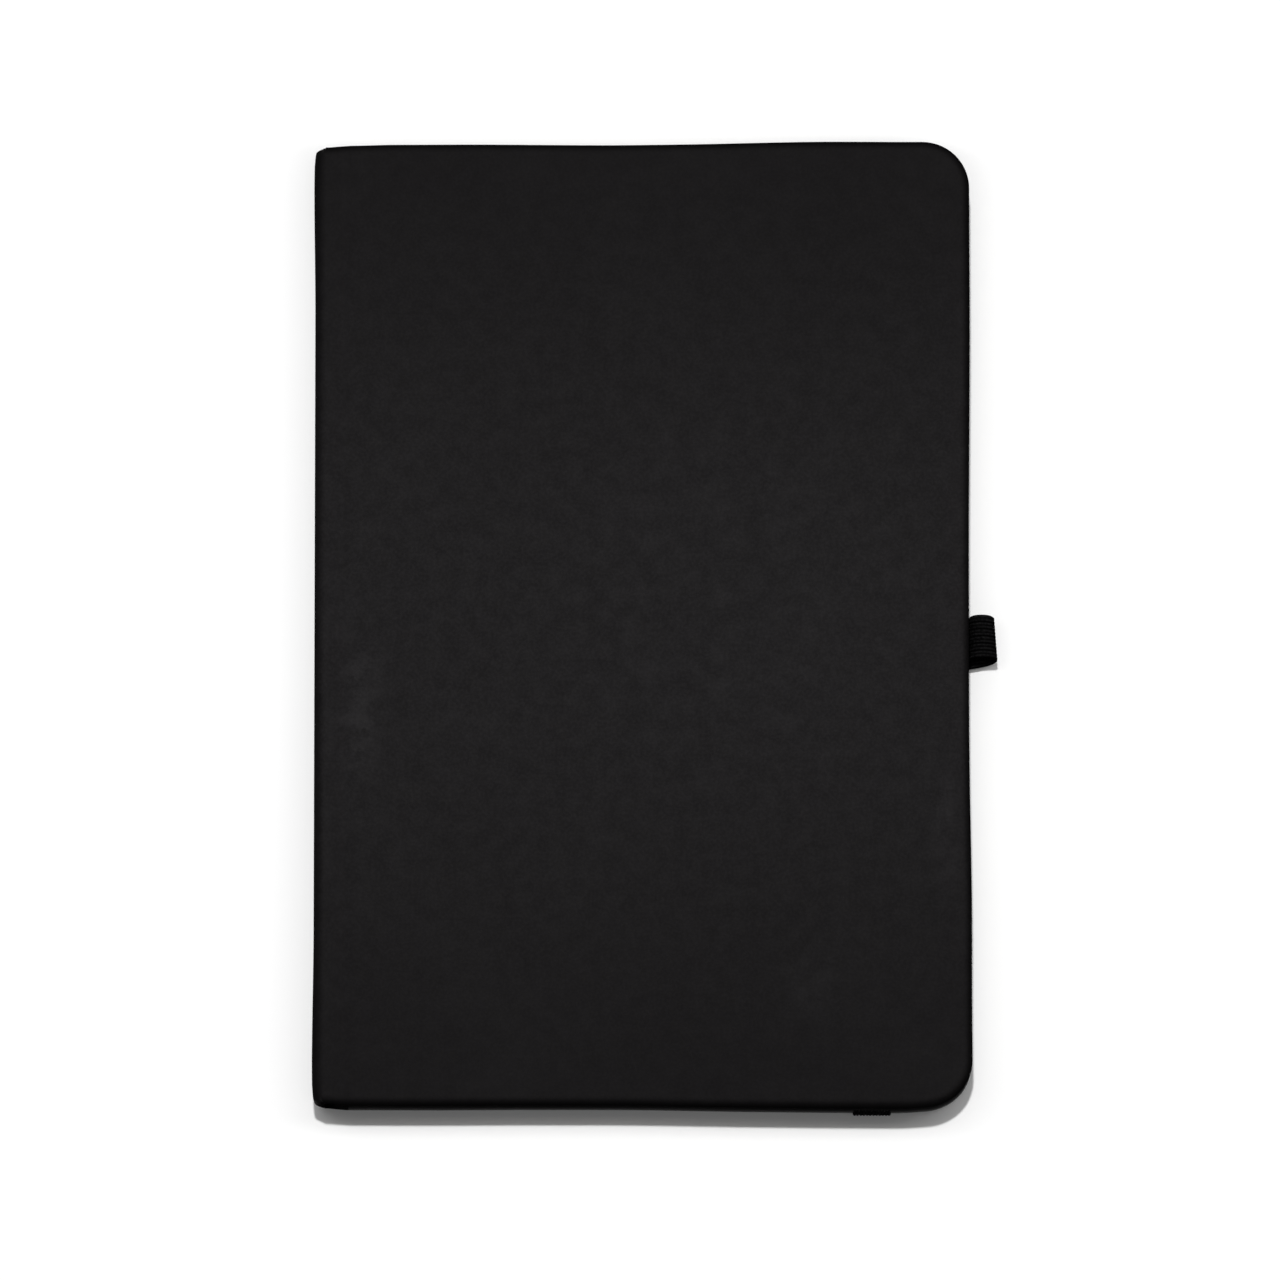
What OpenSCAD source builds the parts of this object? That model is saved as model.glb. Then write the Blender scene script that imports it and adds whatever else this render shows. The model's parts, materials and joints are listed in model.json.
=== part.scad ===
// Case-bound sketchbook with rounded fore-edge corners, an elastic closure and a pen loop.
// It lies closed on its back: +X from the spine to the fore edge, +Y to the head, +Z up
// out of the front cover. The origin is the middle of the footprint, on the table.

/* [Cover] */
// Width of the closed case, spine to fore edge
cover_w = 143; // [120:1:180]
// Height of the case, tail to head
cover_h = 211; // [180:1:260]
// Radius of the two fore-edge corners
corner_r = 9.5; // [5:0.5:14]
// Thickness of the greyboard
board_t = 2; // [1.8:0.1:3]
// Thickness of the covering leathercloth
leather_t = 0.5; // [0.4:0.05:0.6]
// Width of the leathercloth turned in over the boards
turn_in = 15; // [12:1:18]

/* [Spine] */
// Thickness of the spine card
card_t = 1.2; // [0.8:0.1:1.4]
// Hollow between the spine card and the folds of the book block
spine_hollow = 1.2; // [1.2:0.05:1.4]
// Distance from the outside of the spine to the edge of a board
joint_w = 7.5; // [6.5:0.5:9]
// Outer radius of the leathercloth where it turns from the spine to a cover
spine_edge_r = 2.6; // [1.6:0.1:3]

/* [Book block] */
// Thickness of one pressed signature of eight leaves
signature_t = 0.8; // [0.6:0.05:1.2]
// Distance that the covers stand out past the pages
square_w = 3; // [2.5:0.5:4]
// Corner radius of the pages
page_r = 7.5; // [4:0.5:10]
// Thickness of the endpapers
endpaper_t = 0.16; // [0.12:0.02:0.2]

/* [Elastics] */
// Thickness of the closure elastic
closure_t = 0.9; // [0.7:0.05:1]
// Width of the closure elastic
closure_w = 8.3; // [6:0.1:10]
// Distance from the fore edge to the middle of the closure elastic
closure_inset = 21.2; // [16:0.1:30]
// Thickness of the pen loop's elastic
loop_t = 0.85; // [0.7:0.05:0.9]
// Width of the pen loop along the fore edge
loop_w = 9.4; // [8:0.2:14]
// Radius of the rod that the relaxed loop just takes
loop_r = 2.15; // [2.1:0.05:4]
// Straight length between the loop's two round ends
loop_rise = 1.6; // [0:0.1:3]
// Place of the pen loop along the fore edge, from the middle
loop_y = -2.2; // [-60:0.1:60]

/* [Hidden] */
$fn = 64;
glue = 0.02; // glue line between two layers, and the air between two signatures
signatures = 10;
leathercloth = "#262425";
greyboard = "#9a958a";
paper = "#f4f0e6";
endpaper = "#f7f5ee";
elastic = "#161516";
mull_colour = "#e9e4d4";
thread_colour = "#fbfaf5";

// The pen loop stands off the cover's edge by loop_gap, and its outside is loop_out away
loop_gap = 0.1;
loop_outer_r = loop_r + loop_t;
loop_out = loop_gap + 2 * loop_outer_r;

// Along X: outside of the spine, folds of the signatures, board edges and fore edges
spine_x = -(cover_w + loop_out) / 2;
fore_x = spine_x + cover_w;
fold_x = spine_x + leather_t + glue + card_t + spine_hollow;
board_x = spine_x + joint_w;
board_fore_x = fore_x - leather_t - glue;
page_fore_x = fore_x - square_w;
endpaper_x = fold_x + 0.3;

// Along Y: each height is a full height, centred on the origin
board_h = cover_h - 2 * (leather_t + glue);
page_h = cover_h - 2 * square_w;
spine_h = cover_h - 0.9;

// Along Z: the back cover, the block and the front cover are stacked on the closure elastic
back_z = closure_t + glue;
board_in_z = leather_t + glue + board_t;                 // inner face of a board, from its outside
lining_z = board_in_z + 2 * glue + leather_t;            // inner face of a turn-in and its glue
case_t = lining_z + endpaper_t + glue;                   // whole cover, with its clearance
block_t = 2 * endpaper_t + signatures * signature_t + (signatures + 1) * glue;
back_in_z = back_z + case_t;                             // height of the back hinge
front_in_z = back_in_z + block_t;                        // height of the front hinge
top_z = front_in_z + case_t;

// The pastedown sits lower between the turn-ins, with the mull's flaps under it
pastedown_dip = 0.26;
mull_t = 0.2;
mull_flap_w = 18;
mull_end_gap = 12;
mull_x = fold_x - 0.54;
spine_end_gap = 0.7;
card_in_x = fold_x - spine_hollow;

// Sewing stations along the spine
thread_t = 0.3;
stations = 7;
station_pitch = 28;

headband_r = 0.75;

// Pockets in the back cover for the ends of the two elastics
closure_x = fore_x - closure_inset;
closure_tail = 15;
closure_wrap = 3;
closure_pocket_z = back_z + board_in_z - 0.5;
pocket_play = 0.1;
loop_floor_z = back_z + 1.3;
loop_tail_t = 2 * loop_t;
loop_tail_len = 12;
loop_pocket = 16;
loop_split = 0.2;
loop_x = fore_x + loop_gap + loop_outer_r;
loop_low_z = loop_floor_z + loop_outer_r;
loop_top_z = loop_low_z + loop_rise;

// A sheet seen from above: square at the spine side x0, round corners at the fore side x1
module leaf_shape(x0, x1, h, r) {
    translate([x0, -h / 2]) square([x1 - x0 - r, h]);
    translate([x0, -h / 2 + r]) square([x1 - x0, h - 2 * r]);
    for (side = [-1, 1])
        translate([x1 - r, side * (h / 2 - r)]) circle(r);
}

// A leaf_shape with thickness t, standing on height z
module sheet(x0, x1, h, r, z, t) {
    translate([0, 0, z]) linear_extrude(t) leaf_shape(x0, x1, h, r);
}

// A drawing in the X-Z plane, drawn out to length h along Y about y
module along_y(h, y = 0) {
    translate([0, y, 0]) rotate([90, 0, 0]) linear_extrude(h, center = true) children();
}

// Turns what is modelled as a back cover over, into the front cover's place
module as_front() {
    translate([0, 0, back_z + top_z]) mirror([0, 0, 1]) children();
}

module board() {
    sheet(board_x, board_fore_x, board_h, corner_r - leather_t, back_z + leather_t + glue, board_t);
}

// Leathercloth on one cover: the outer face, the edges, and the turn-in on three sides
module cover_leather() {
    difference() {
        sheet(board_x, fore_x, cover_h, corner_r, back_z, board_in_z + glue + leather_t);
        sheet(board_x - 1, fore_x - leather_t, cover_h - 2 * leather_t, corner_r - leather_t,
              back_z + leather_t, board_t + 2 * glue);
        sheet(board_x - 1, fore_x - turn_in, cover_h - 2 * turn_in, 2,
              back_z + leather_t, case_t);
    }
}

// Leathercloth from the spine, round its edge and over the joint, to the edge of the board
module joint_leather() {
    centre_x = spine_x + spine_edge_r;
    centre_z = back_z + spine_edge_r;
    top = back_in_z + spine_end_gap - glue;
    along_y(spine_h) {
        translate([centre_x, centre_z]) intersection() {
            difference() {
                circle(spine_edge_r);
                circle(spine_edge_r - leather_t);
            }
            translate([-spine_edge_r, -spine_edge_r]) square(spine_edge_r);
        }
        translate([spine_x, centre_z]) square([leather_t, top - centre_z]);
        translate([centre_x, back_z]) square([board_x - glue - centre_x, leather_t]);
    }
}

// Endpaper glued into a cover, pressed down between the turn-ins
module pastedown() {
    inner_w = turn_in - square_w;
    z = back_z + lining_z;
    difference() {
        sheet(endpaper_x, page_fore_x, page_h, page_r, z - pastedown_dip,
              endpaper_t + pastedown_dip);
        difference() {
            sheet(endpaper_x - 1, page_fore_x + 1, page_h + 2, page_r, z - 1, 1);
            sheet(board_x + 2, page_fore_x - inner_w - glue, page_h - 2 * (inner_w + glue), 2,
                  z - 2, 3);
        }
        sheet(board_x + 2 + endpaper_t, page_fore_x - inner_w - endpaper_t - glue,
              page_h - 2 * (inner_w + endpaper_t + glue), 2,
              z - pastedown_dip + endpaper_t, 3);
    }
}

module back_board() {
    color(greyboard) difference() {
        board();
        closure_pockets();
        loop_tail_pocket();
    }
}

module back_cover_leather() {
    color(leathercloth) difference() {
        cover_leather();
        closure_pockets();
        loop_tail_pocket();
    }
}

module front_board() {
    color(greyboard) as_front() board();
}

module front_cover_leather() {
    color(leathercloth) as_front() cover_leather();
}

module back_joint_leather() {
    color(leathercloth) joint_leather();
}

module front_joint_leather() {
    color(leathercloth) as_front() joint_leather();
}

module back_pastedown() {
    color(endpaper) pastedown();
}

module front_pastedown() {
    color(endpaper) as_front() pastedown();
}

module back_flyleaf() {
    color(endpaper)
        sheet(endpaper_x, page_fore_x, page_h, page_r, back_in_z, endpaper_t);
}

module front_flyleaf() {
    color(endpaper)
        sheet(endpaper_x, page_fore_x, page_h, page_r, front_in_z - endpaper_t, endpaper_t);
}

module spine_card() {
    z = back_in_z + spine_end_gap;
    color(greyboard)
        translate([card_in_x - card_t, -(spine_h / 2 - leather_t - glue), z])
            cube([card_t, spine_h - 2 * (leather_t + glue), block_t - 2 * spine_end_gap]);
}

// Leathercloth on the outside of the spine, turned in over the card at head and tail
module spine_leather() {
    z = back_in_z + spine_end_gap;
    height = block_t - 2 * spine_end_gap;
    inner_x = card_in_x + glue + leather_t;
    color(leathercloth) difference() {
        translate([spine_x, -spine_h / 2, z]) cube([inner_x - spine_x, spine_h, height]);
        translate([spine_x + leather_t, -spine_h / 2 + leather_t, z - 1])
            cube([card_t + 2 * glue, spine_h - 2 * leather_t, height + 2]);
        translate([card_in_x, -spine_h / 2 + turn_in, z - 1])
            cube([spine_hollow, spine_h - 2 * turn_in, height + 2]);
    }
}

// Four sheets folded together and pressed, with a round fold; number 1 is at the front
module signature(number) {
    pitch = signature_t + glue;
    z = front_in_z - endpaper_t - number * pitch;
    color(paper) intersection() {
        sheet(fold_x, page_fore_x, page_h, page_r, z, signature_t);
        along_y(page_h + 2) {
            translate([fold_x + signature_t / 2, z + signature_t / 2]) circle(signature_t / 2);
            translate([fold_x + signature_t / 2, z]) square([cover_w, signature_t]);
        }
    }
}

// Open cloth glued over the folds
module mull_spine() {
    color(mull_colour)
        translate([mull_x, -(page_h / 2 - mull_end_gap), back_in_z + 0.1])
            cube([mull_t, page_h - 2 * mull_end_gap, block_t - 0.2]);
}

// The same cloth carried on to the inner face of a board, under the pastedown
module mull_flap() {
    reach = page_h / 2 - mull_end_gap - 2;
    color(mull_colour)
        translate([board_x + 2.5, -reach, back_z + board_in_z + glue])
            cube([mull_flap_w, 2 * reach, mull_t]);
}

module mull_back_flap() {
    mull_flap();
}

module mull_front_flap() {
    as_front() mull_flap();
}

// Thread that crosses from fold to fold at each sewing station
module sewing_thread() {
    color(thread_colour)
        for (i = [0:stations - 1])
            translate([fold_x - thread_t - glue, (i - (stations - 1) / 2) * station_pitch, back_in_z + 0.3])
                cube([thread_t, 2 * thread_t, block_t - 0.6]);
}

// Rolled band that closes the end of the block's spine
module headband(side) {
    color(thread_colour)
        translate([fold_x + 0.2, side * (page_h / 2 + headband_r + glue), back_in_z + 0.3])
            cylinder(r = headband_r, h = block_t - 0.6);
}

// Cut-outs at head and tail where the closure elastic's ends are let into the back cover
module closure_pockets() {
    for (side = [-1, 1])
        translate([closure_x, side * (cover_h / 2 - closure_tail / 2), closure_pocket_z + 2.5])
            cube([closure_w + 2 * pocket_play, closure_tail + 2 * pocket_play, 5], center = true);
}

module closure_span() {
    length = cover_h - 2 * (closure_wrap + pocket_play);
    color(elastic)
        translate([closure_x - closure_w / 2, -length / 2, 0])
            cube([closure_w, length, closure_t]);
}

// One end of the closure elastic: under the cover, round its edge and into its pocket
module closure_end(side) {
    tail_z = closure_pocket_z + glue;
    edge = cover_h / 2 + glue;
    color(elastic) mirror([0, side < 0 ? 1 : 0, 0])
        translate([closure_x - closure_w / 2, 0, 0]) {
            translate([0, cover_h / 2 - closure_wrap, 0])
                cube([closure_w, closure_wrap + glue + closure_t, closure_t]);
            translate([0, edge, 0]) cube([closure_w, closure_t, tail_z + closure_t]);
            translate([0, cover_h / 2 - closure_tail + pocket_play, tail_z])
                cube([closure_w, closure_tail + closure_t + glue - pocket_play, closure_t]);
        }
}

module loop_tail_pocket() {
    translate([fore_x - loop_pocket, loop_y - loop_w / 2 - pocket_play, loop_floor_z - glue])
        cube([loop_pocket + 1, loop_w + 2 * pocket_play, 5]);
}

// Both ends of the pen loop's elastic, one on the other, between the board and the pastedown
module pen_loop_tails() {
    color(elastic)
        translate([fore_x - loop_split - loop_tail_len, loop_y - loop_w / 2, loop_floor_z])
            cube([loop_tail_len, loop_w, loop_tail_t]);
}

// Stadium standing on its round end in the X-Z plane
module upright_stadium(r) {
    translate([loop_x, loop_low_z]) circle(r);
    translate([loop_x, loop_top_z]) circle(r);
    translate([loop_x - r, loop_low_z]) square([2 * r, loop_rise]);
}

// The loop itself, relaxed, with the start of its two ends
module pen_loop() {
    neck_x = fore_x + 2 * loop_split;
    color(elastic) along_y(loop_w, loop_y) difference() {
        union() {
            upright_stadium(loop_outer_r);
            translate([neck_x, loop_floor_z]) square([loop_x - neck_x, loop_tail_t]);
        }
        upright_stadium(loop_r);
    }
}

back_board();
back_cover_leather();
back_joint_leather();
back_pastedown();
back_flyleaf();
spine_card();
spine_leather();
front_board();
front_cover_leather();
front_joint_leather();
front_pastedown();
front_flyleaf();
signature(1);  // signature_01
signature(2);  // signature_02
signature(3);  // signature_03
signature(4);  // signature_04
signature(5);  // signature_05
signature(6);  // signature_06
signature(7);  // signature_07
signature(8);  // signature_08
signature(9);  // signature_09
signature(10);  // signature_10
mull_spine();
mull_front_flap();
mull_back_flap();
sewing_thread();
headband(1);  // headband_head
headband(-1);  // headband_tail
closure_span();
closure_end(1);  // closure_end_head
closure_end(-1);  // closure_end_tail
pen_loop_tails();
pen_loop();
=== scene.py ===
import json
import math

import bmesh
import bpy
import numpy as np
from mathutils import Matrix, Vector, noise


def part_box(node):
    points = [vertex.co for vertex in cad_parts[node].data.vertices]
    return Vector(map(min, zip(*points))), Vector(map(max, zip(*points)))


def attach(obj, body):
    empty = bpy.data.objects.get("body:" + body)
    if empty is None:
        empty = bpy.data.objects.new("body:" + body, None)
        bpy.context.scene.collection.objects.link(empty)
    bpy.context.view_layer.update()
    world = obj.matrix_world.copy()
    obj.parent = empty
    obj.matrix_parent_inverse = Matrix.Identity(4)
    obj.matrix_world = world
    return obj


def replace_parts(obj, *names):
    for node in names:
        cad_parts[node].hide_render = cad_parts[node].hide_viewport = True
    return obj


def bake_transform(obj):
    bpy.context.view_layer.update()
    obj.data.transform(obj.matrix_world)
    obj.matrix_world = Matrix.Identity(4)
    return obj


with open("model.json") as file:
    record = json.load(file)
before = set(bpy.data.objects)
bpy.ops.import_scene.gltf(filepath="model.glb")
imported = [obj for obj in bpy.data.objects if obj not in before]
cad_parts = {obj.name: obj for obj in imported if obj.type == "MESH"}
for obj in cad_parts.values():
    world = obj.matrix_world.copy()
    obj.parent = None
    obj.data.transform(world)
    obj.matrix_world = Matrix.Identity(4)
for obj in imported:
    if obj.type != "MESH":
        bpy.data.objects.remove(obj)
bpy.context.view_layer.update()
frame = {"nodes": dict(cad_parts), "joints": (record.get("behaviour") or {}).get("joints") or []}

# Lengths below are in millimetres; meshes are scaled to metres as they are made.
MM = 0.001
rng = np.random.default_rng(7)


def box_mm(node):
    low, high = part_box(node)
    return np.array(low) / MM, np.array(high) / MM


def joint_at(name):
    for joint in frame["joints"]:
        if joint["name"] == name:
            return np.array(joint["pos_m"]) / MM
    raise ValueError("no joint named " + name)


# ---------------------------------------------------------------- positions from the CAD
board_low, board_high = box_mm("front_board")
cover_low, cover_high = box_mm("front_cover_leather")
back_low, back_high = box_mm("back_cover_leather")
spine_low, spine_high = box_mm("spine_leather")
paste_low, paste_high = box_mm("front_pastedown")
back_paste_low, back_paste_high = box_mm("back_pastedown")
fly_low, fly_high = box_mm("front_flyleaf")
back_fly_low, back_fly_high = box_mm("back_flyleaf")
loop_low, loop_high = box_mm("pen_loop")
tails_low, tails_high = box_mm("pen_loop_tails")
span_low, span_high = box_mm("closure_span")
end_low, end_high = box_mm("closure_end_head")
head_low, head_high = box_mm("headband_head")
tail_band_low, tail_band_high = box_mm("headband_tail")
mull_low, mull_high = box_mm("mull_spine")
thread_low, thread_high = box_mm("sewing_thread")
front_hinge = joint_at("middle_opening")
back_hinge = joint_at("spine_swing")

TOP_Z = cover_high[2]
BACK_Z = back_low[2]
BOARD_X = board_low[0]
FORE_X = cover_high[0]
COVER_HALF = cover_high[1]
SPINE_X = spine_low[0]
SPINE_HALF = spine_high[1]
PAGE_X = paste_high[0]
PAGE_HALF = paste_high[1]
SIGNATURES = 10

# Corner radii, in plan, of the covers' two fore-edge corners and of the leaves
HEAD_CORNER_R = 10.4
TAIL_CORNER_R = 9.8
PAGE_CORNER_R = 7.5

# Rolled edges: outside and inside radius, depth of the turn-in's face and of the board's face
EDGE_R = 1.5
INNER_EDGE_R = 1.1
LINING_DEPTH = 3.04
BOARD_DEPTH = 2.53
TURN_IN = 15.0
PLEAT_REACH = 12
PLEAT_DEPTH = 0.1

# The joint: a shallow dip beside the board, and the way over which its ends grow taller
JOINT_DIP = 0.24
JOINT_DIP_WIDTH = 1.8
JOINT_DIP_X = BOARD_X - 1.4
JOINT_TAPER = 5.0
STRIP_T = 1.0

# The spine: its corner seen from the end, its ends at mid height and at the covers, its swell
SPINE_CORNER_R = 2.4
SPINE_END_R = 1.5
SPINE_TIP_R = 2.8
SPINE_TIP_DRAWN = 0.4
SPINE_SWELL = 0.3
SPINE_T = 1.8

# Unevenness: of the outline, of the outer faces, and how far the covers flare out
OUTLINE_WAVE = 0.16
OUTLINE_SPARE = 0.1
FACE_WAVE = 0.05
HEAD_FLARE = 0.72
HEAD_LIFT = 0.2
TAIL_FLARE = 0.6
FORE_FLARE_HEAD = 0.35
FORE_FLARE_TAIL = 0.5

# Elastic: grooves, the thickness where it is pressed flat as a share, and the closure's slack
RIBS = 6
GROOVE = 0.24
FLAT_SHARE = 0.82
CLOSURE_SLACK = 0.35
LOOP_OUTER_R = 3.0


def smooth(t):
    t = np.clip(t, 0.0, 1.0)
    return t * t * (3 - 2 * t)


def mark_edges(obj, shares, name="edge"):
    """Keep, for the material, how near each point is to an edge or a groove, from 0 to 1; as
    "edge" it darkens the colour there as painted shade.
    """
    layer = obj.data.attributes.new(name, "FLOAT", "POINT")
    layer.data.foreach_set("value", np.asarray(shares, np.float32))
    return obj


def ease_rim_shade_add_gloss(obj):
    """Paint less shade on the rolled edges and make them a little shiny, from the joint to the
    fore edge.
    """
    edges = np.zeros(len(obj.data.vertices), np.float32)
    layer = obj.data.attributes["edge"].data
    layer.foreach_get("value", edges)
    places = np.array([vertex.co.x for vertex in obj.data.vertices]) / MM
    share = smooth((places - SPINE_X - 3) / 3)
    layer.foreach_set("value", edges * (1 - 0.65 * share))
    mark_edges(obj, edges * share, "gloss")


def wave(x, y, size, seed):
    """Smooth noise from about -1 to 1 whose features are size millimetres across."""
    return noise.noise(Vector((x / size, y / size, seed * 7.31)))


# ---------------------------------------------------------------- mesh makers
def make_mesh(name, verts, faces, sharp=40):
    mesh = bpy.data.meshes.new(name)
    mesh.from_pydata([tuple(v) for v in np.asarray(verts, float) * MM], [], faces)
    work = bmesh.new()
    work.from_mesh(mesh)
    bmesh.ops.recalc_face_normals(work, faces=work.faces)
    work.to_mesh(mesh)
    work.free()
    for polygon in mesh.polygons:
        polygon.use_smooth = True
    mesh.set_sharp_from_angle(angle=math.radians(sharp))
    obj = bpy.data.objects.new(name, mesh)
    bpy.context.scene.collection.objects.link(obj)
    return obj


def ring_faces(rings, count):
    """Quads between closed rings of count points each, and a face over each end."""
    faces = []
    for i in range(rings - 1):
        for j in range(count):
            k = (j + 1) % count
            a = i * count
            faces.append((a + j, a + k, a + count + k, a + count + j))
    faces.append(tuple(range(count)))
    last = (rings - 1) * count
    faces.append(tuple(last + j for j in reversed(range(count))))
    return faces


def slab_parts(outer, inner):
    """A closed sheet between two grids of the same shape, (along, across, 3)."""
    n, m = outer.shape[:2]
    verts = np.concatenate([outer.reshape(-1, 3), inner.reshape(-1, 3)])
    faces = []
    shift = n * m

    def at(i, j):
        return i * m + j

    for i in range(n - 1):
        for j in range(m - 1):
            quad = (at(i, j), at(i, j + 1), at(i + 1, j + 1), at(i + 1, j))
            faces.append(quad)
            faces.append(tuple(q + shift for q in reversed(quad)))
    for i in range(n - 1):
        for j in (0, m - 1):
            faces.append((at(i, j), at(i + 1, j), at(i + 1, j) + shift, at(i, j) + shift))
    for j in range(m - 1):
        for i in (0, n - 1):
            faces.append((at(i, j), at(i, j + 1), at(i, j + 1) + shift, at(i, j) + shift))
    return verts, faces


def join_parts(name, parts, sharp=40):
    """One object from several (vertices, faces) parts."""
    verts, faces, start = [], [], 0
    for part_verts, part_faces in parts:
        verts.append(part_verts)
        faces += [tuple(i + start for i in face) for face in part_faces]
        start += len(part_verts)
    return make_mesh(name, np.concatenate(verts), faces, sharp)


def edge_rows(half, radius, step=3.0):
    """Positions across a strip from -half to half, close together at its rounded edges."""
    near = [radius * (1 - math.cos(a)) for a in np.radians([0, 20, 40, 60, 75, 90])]
    side = [half - e for e in near + [1.7, 2.1, 2.6, 4.0, 6.0]]
    inner = list(np.linspace(side[-1], -side[-1], round(2 * SPINE_HALF / step)))
    return np.array(side + inner[1:-1] + [-y for y in reversed(side)])


def leather_strip(name, outer_path, inner_path, radii, inner_radius=0.4):
    """A strip of folded leather: paths are (x, z) points, with rounded head and tail edges.

    It is as tall as the covers where it meets them and as tall as the spine elsewhere."""
    count = len(edge_rows(SPINE_HALF, radii[0]))
    outer = np.zeros((len(outer_path), count, 3))
    inner = outer.copy()
    edges = np.zeros((len(outer_path), count))
    for i, (a, b, radius) in enumerate(zip(outer_path, inner_path, radii)):
        inward = (b - a) / np.linalg.norm(b - a)
        taller = (COVER_HALF - SPINE_HALF) * float(1 - smooth((BOARD_X - a[0]) / JOINT_TAPER))
        half = SPINE_HALF + taller
        for j, y in enumerate(edge_rows(half, radius)):
            gap = half - abs(y)
            drop = radius - math.sqrt(max(0.0, radius ** 2 - max(0.0, radius - gap) ** 2))
            lift = inner_radius - math.sqrt(
                max(0.0, inner_radius ** 2 - max(0.0, inner_radius - gap) ** 2))
            edge = math.copysign(1, y) * outline_wave(a[0], y) * smooth(1 - gap / 10)
            face = face_wave(a[0], y)
            p = a + inward * (drop + face) + (spine_end(a, gap), 0)
            q = b - inward * lift + (0.5 * spine_end(a, gap), 0)
            outer[i, j] = (p[0], y + edge, p[1])
            inner[i, j] = (q[0], y + edge, q[1])
            # Edge share, which the material darkens as painted shade: most of the spine's face,
            # and the head and tail edges
            turned = 1 - float(smooth((a[0] - SPINE_X) / 2.6))
            edges[i, j] = max(0.85 * turned, 1 - float(smooth(gap / 2.0)))
    verts, faces = slab_parts(outer, inner)
    obj = make_mesh(name, verts, faces, 50)
    return mark_edges(obj, np.concatenate([edges.ravel(), edges.ravel()]))


def outline_wave(x, y):
    """How far the head and tail edges stray from straight, outward positive."""
    return OUTLINE_WAVE * wave(x, 40 * np.sign(y), 26, 1) + OUTLINE_SPARE


def end_flare(x, y, front):
    """How much taller a cover is towards its fore edge; its head more than its tail."""
    rise = float(smooth((x + 15) / 55))
    if y > 0 and front:
        return HEAD_LIFT * float(smooth((x - BOARD_X) / 10)) + HEAD_FLARE * rise
    return TAIL_FLARE * rise * (1 - float(smooth((x - 52) / 12)))


def fore_flare(y):
    """How much wider a cover is towards its head and tail."""
    at_head = float(smooth((y - 10) / 50))
    at_tail = float(smooth((-20 - y) / 50))
    return FORE_FLARE_HEAD * at_head + FORE_FLARE_TAIL * at_tail


def spine_end(point, gap):
    """How far the spine's face is drawn in close to its head and tail, fully so at its corners."""
    share = float(smooth((SPINE_X + SPINE_CORNER_R - point[0]) / SPINE_CORNER_R))
    corner = float(smooth(min(point[1] - BACK_Z, TOP_Z - point[1]) / 3.5))
    radius = SPINE_END_R * corner + SPINE_TIP_R * (1 - corner)
    inside = max(0.0, radius - gap)
    drawn = radius - math.sqrt(max(0.0, radius ** 2 - inside ** 2))
    swell = SPINE_SWELL * float(smooth(gap / 5)) * (1 - float(smooth((gap - 8) / 30)))
    drawn += SPINE_TIP_DRAWN * (1 - corner) * float(smooth(1 - gap / 9))
    return share * (drawn - swell)


def face_wave(x, y):
    """Slow unevenness of the outer face, inward positive; none near the free edges."""
    free = min(COVER_HALF - abs(y), FORE_X - x)
    fade = float(smooth((free - 1.5) / 10) * smooth((x - SPINE_X - 3.5) / 3))
    return FACE_WAVE * (1 + wave(x, y, 34, 2)) * fade


# ---------------------------------------------------------------- covers
def cover_outline(inset, spine_inset):
    """Closed outline of a cover drawn in by inset, round at the fore edge only."""
    x0 = BOARD_X + spine_inset
    x1 = FORE_X - inset
    half = COVER_HALF - inset
    r = max(TAIL_CORNER_R - inset, 1.2)
    head_r = max(HEAD_CORNER_R - inset, 1.2)
    points = [(x, -half) for x in np.linspace(x0, x1 - r, 64)]
    for a in np.radians(np.linspace(-90, 0, 15))[1:]:
        points.append((x1 - r + r * math.cos(a), -half + r + r * math.sin(a)))
    points += [(x1, y) for y in np.linspace(-half + r, half - head_r, 90)[1:]]
    r = head_r
    for a in np.radians(np.linspace(0, 90, 15))[1:]:
        points.append((x1 - r + r * math.cos(a), half - r + r * math.sin(a)))
    points += [(x, half) for x in np.linspace(x1 - r, x0, 64)[1:]]
    points += [(x0, y) for y in np.linspace(half, -half, 60)[1:-1]]
    return np.array(points)


def cover_profile():
    """(inset, spine inset, depth) from the middle of the outer face round to the inside."""
    profile = [(d, d - EDGE_R, 0.0) for d in list(range(66, 8, -3)) + [7, 5, 3.5, 2.6, 2.0]]
    for a in np.radians(np.linspace(90, 0, 8)):
        profile.append((EDGE_R * (1 - math.cos(a)), 0.0, EDGE_R * (1 - math.sin(a))))
    for a in np.radians(np.linspace(0, 90, 7)):
        profile.append((INNER_EDGE_R * (1 - math.cos(a)), 0.0,
                        LINING_DEPTH - INNER_EDGE_R * (1 - math.sin(a))))
    for d in (2, 3, 5, 8, 11, TURN_IN - 0.4):
        profile.append((d, 0.13 * d, LINING_DEPTH))
    profile.append((TURN_IN, 0.13 * TURN_IN, LINING_DEPTH - 0.15))
    profile.append((TURN_IN + 0.05, 0.13 * TURN_IN + 0.05, BOARD_DEPTH))
    return profile


def corner_pleat(x, y):
    """How far the turn-in stands up in the pleats round a fore-edge corner."""
    corner = max(0.0, x - FORE_X + 11) * max(0.0, abs(y) - COVER_HALF + 11)
    angle = math.atan2(abs(y) - COVER_HALF + 9.5, x - FORE_X + 9.5)
    return PLEAT_DEPTH * (0.5 + 0.5 * math.cos(angle * 22)) * float(smooth(corner / 30))


def joint_dip(x):
    """Depth of the shallow dip along the joint."""
    return JOINT_DIP * math.exp(-((x - JOINT_DIP_X) / JOINT_DIP_WIDTH) ** 2)


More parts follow.
